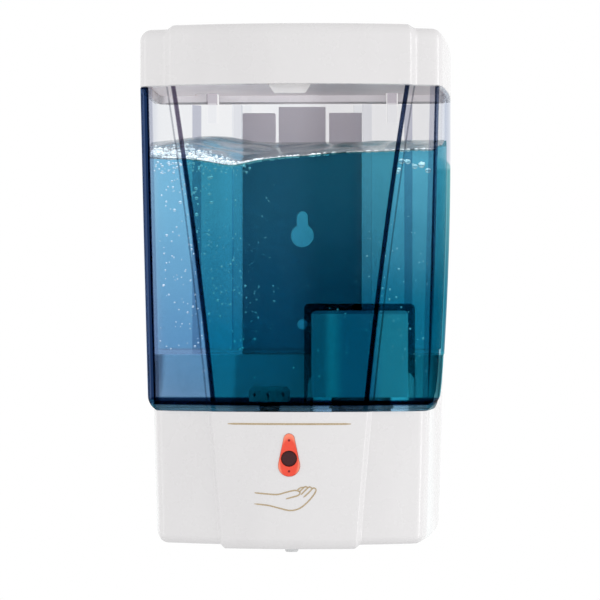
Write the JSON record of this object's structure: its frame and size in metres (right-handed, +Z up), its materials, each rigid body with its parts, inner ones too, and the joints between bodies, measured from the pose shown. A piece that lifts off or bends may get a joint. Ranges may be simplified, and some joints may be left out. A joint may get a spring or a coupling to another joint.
{
  "type": "wall mounted soap dispenser",
  "caption": "Wall mounted touchless soap dispenser: clear tank with hinged lid over a white base with sensor, gear pump, motor, nozzle and battery bay, hung on a slide-in wall bracket.",
  "frame": {"origin": "on the wall bracket's flat back face, on its centre line, between its keyhole and its lower screw hole", "axes": "+Z up, +Y into the wall, so the front of the dispenser faces -Y, and +X to the right seen from the front"},
  "size_m": [0.1266, 0.1126, 0.2072],
  "materials": {
    "white_gloss_plastic": "glossy white ABS with a faint warm grey cast",
    "white_matt_plastic": "matt white moulded plastic",
    "smoky_clear_plastic": "clear polycarbonate with a faint smoky blue tint, dark where it is seen edge on",
    "frosted_plastic": "translucent frosted plastic",
    "orange_window": "glossy orange-red infrared window",
    "dark_lens": "deep red-black polished lens",
    "clear_resin": "clear epoxy diode",
    "board_green": "green solder mask",
    "black_plastic": "black moulded plastic",
    "bright_steel": "nickel plated steel",
    "motor_steel": "zinc plated drawn steel",
    "nylon": "natural nylon",
    "silicone": "translucent silicone",
    "battery_wrap": "printed film wrap with no lettering"
  },
  "bodies": {
    "bracket": {"wall_bracket": "white_matt_plastic"},
    "lid": {"lid": "white_gloss_plastic", "lid_liner": "white_matt_plastic", "lid_catch": "frosted_plastic", "lid_hinge_pin_left": "bright_steel", "lid_hinge_pin_right": "bright_steel"},
    "battery_flap": {"battery_door": "white_gloss_plastic", "door_contact_1": "bright_steel", "door_contact_2": "bright_steel", "door_contact_3": "bright_steel"},
    "rotor": {"motor_shaft": "bright_steel", "drive_gear": "nylon"},
    "idler": {"idler_gear": "nylon"},
    "power_slider": {"switch_slider": "black_plastic"},
    "unit": {"tank": "smoky_clear_plastic", "inlet_strainer": "nylon", "inlet_fitting": "nylon", "base_housing": "white_gloss_plastic", "bottom_cover": "white_gloss_plastic", "sensor_window": "orange_window", "sensor_lens": "dark_lens", "infrared_receiver": "black_plastic", "infrared_emitter": "clear_resin", "indicator_light": "clear_resin", "sensor_board": "board_green", "control_board": "board_green", "control_chip": "black_plastic", "smoothing_capacitor": "black_plastic", "board_connector": "nylon", "switch_body": "black_plastic", "battery_box": "white_matt_plastic", "upper_contact_left": "bright_steel", "upper_contact_right": "bright_steel", "door_hinge_pin": "bright_steel", "pump_body": "nylon", "pump_cover": "nylon", "idler_pin": "bright_steel", "motor_can": "motor_steel", "motor_end_cap": "black_plastic", "inlet_tube": "silicone", "outlet_tube": "silicone", "nozzle": "silicone", "cover_screw_1": "bright_steel", "battery_1": "battery_wrap", "cover_screw_2": "bright_steel", "battery_2": "battery_wrap", "cover_screw_3": "bright_steel", "battery_3": "battery_wrap", "cover_screw_4": "bright_steel", "battery_4": "battery_wrap"}
  },
  "joints": [
    {"name": "unit_lift", "type": "slide", "parent": "bracket", "child": "unit", "axis": [0, 0, 1], "range_m": [0, 0.104]},
    {"name": "lid_hinge", "type": "hinge", "parent": "unit", "child": "lid", "pos_m": [0, -0.0087, 0.09], "axis": [-1, 0, 0], "range_deg": [0, 90]},
    {"name": "battery_flap_hinge", "type": "hinge", "parent": "unit", "child": "battery_flap", "pos_m": [0, -0.0302, -0.1025], "axis": [-1, 0, 0], "range_deg": [0, 90]},
    {"name": "drive_spin", "type": "hinge", "parent": "unit", "child": "rotor", "pos_m": [0.027, -0.073, -0.07], "axis": [0, 0, 1], "continuous": true},
    {"name": "idler_spin", "type": "hinge", "parent": "unit", "child": "idler", "pos_m": [0.0166, -0.073, -0.07], "axis": [0, 0, 1], "continuous": true},
    {"name": "power_slide", "type": "slide", "parent": "unit", "child": "power_slider", "axis": [1, 0, 0], "range_m": [0, 0.0032]}
  ],
  "couplings": [
    {"joint": "idler_spin", "follows": "drive_spin", "ratio": -1}
  ]
}
